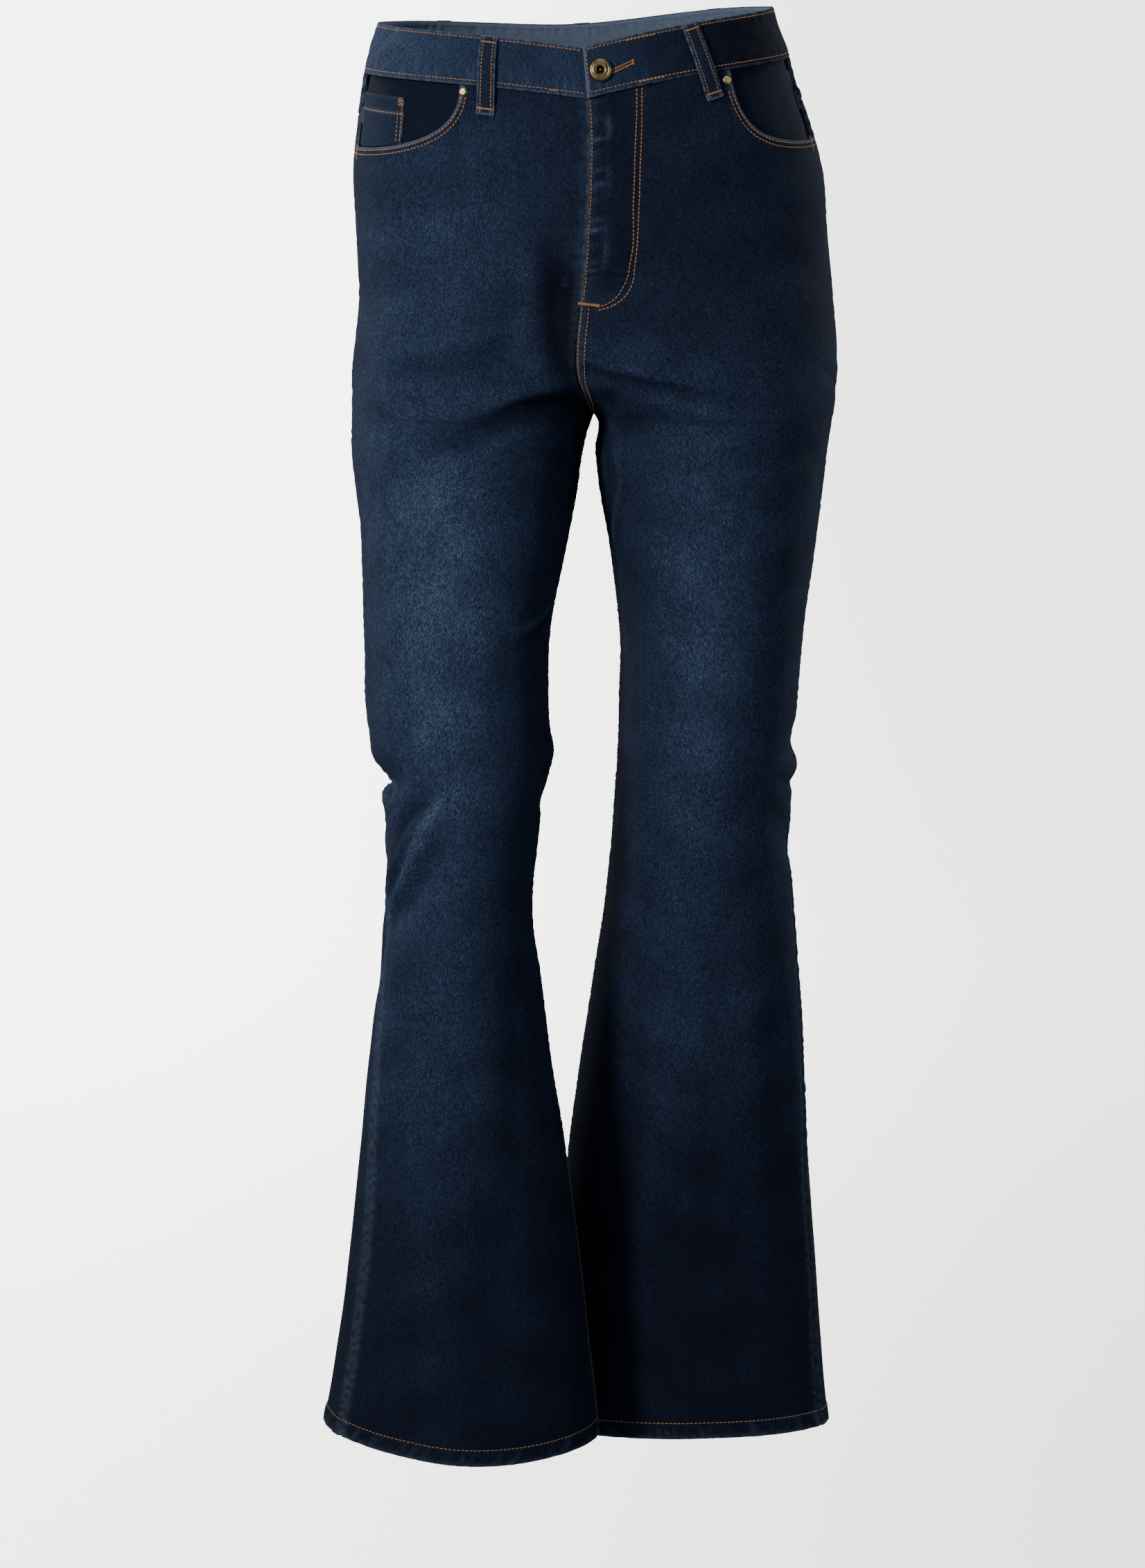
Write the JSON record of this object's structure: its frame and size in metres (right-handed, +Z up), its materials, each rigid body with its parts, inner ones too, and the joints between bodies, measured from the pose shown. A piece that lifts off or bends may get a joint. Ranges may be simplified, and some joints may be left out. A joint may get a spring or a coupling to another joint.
{
  "type": "bootcut jeans, worn form, hollow",
  "caption": "Mid-rise bootcut denim jeans in worn, hollow form: lapped fly with button, scoop pockets, coin pocket, belt loops, yoke, patch back pockets and flared open hems.",
  "frame": {"origin": "middle of the waist, on the centre line of the hollow, 19 mm under the waistband's top at the sides before its tilt", "axes": "+Z up along the legs; -Y is the front of the garment, so -X is the wearer's right"},
  "size_m": [0.3974, 0.293, 1.1196],
  "materials": {
    "denim": "dark indigo twill denim, faded on the thighs and knees",
    "denim_loop": "indigo twill denim with pale worn edges",
    "denim_pocket": "dark indigo twill denim",
    "brass": "antique brass, satin",
    "zip_tape": "woven navy tape"
  },
  "bodies": {
    "root": {"front_panel_right": "denim", "front_panel_left": "denim", "back_panel_right": "denim", "back_panel_left": "denim", "yoke_right": "denim", "yoke_left": "denim", "waistband": "denim", "fly_shield": "denim", "belt_loop_front_right": "denim_loop", "belt_loop_front_left": "denim_loop", "belt_loop_back_right": "denim_loop", "belt_loop_back_left": "denim_loop", "belt_loop_centre": "denim_loop", "back_pocket_right": "denim_pocket", "back_pocket_left": "denim_pocket", "pocket_facing_right": "denim_pocket", "pocket_facing_left": "denim_pocket", "coin_pocket": "denim_pocket", "button": "brass", "rivet_right": "brass", "rivet_left": "brass", "zip": "zip_tape"}
  },
  "joints": []
}
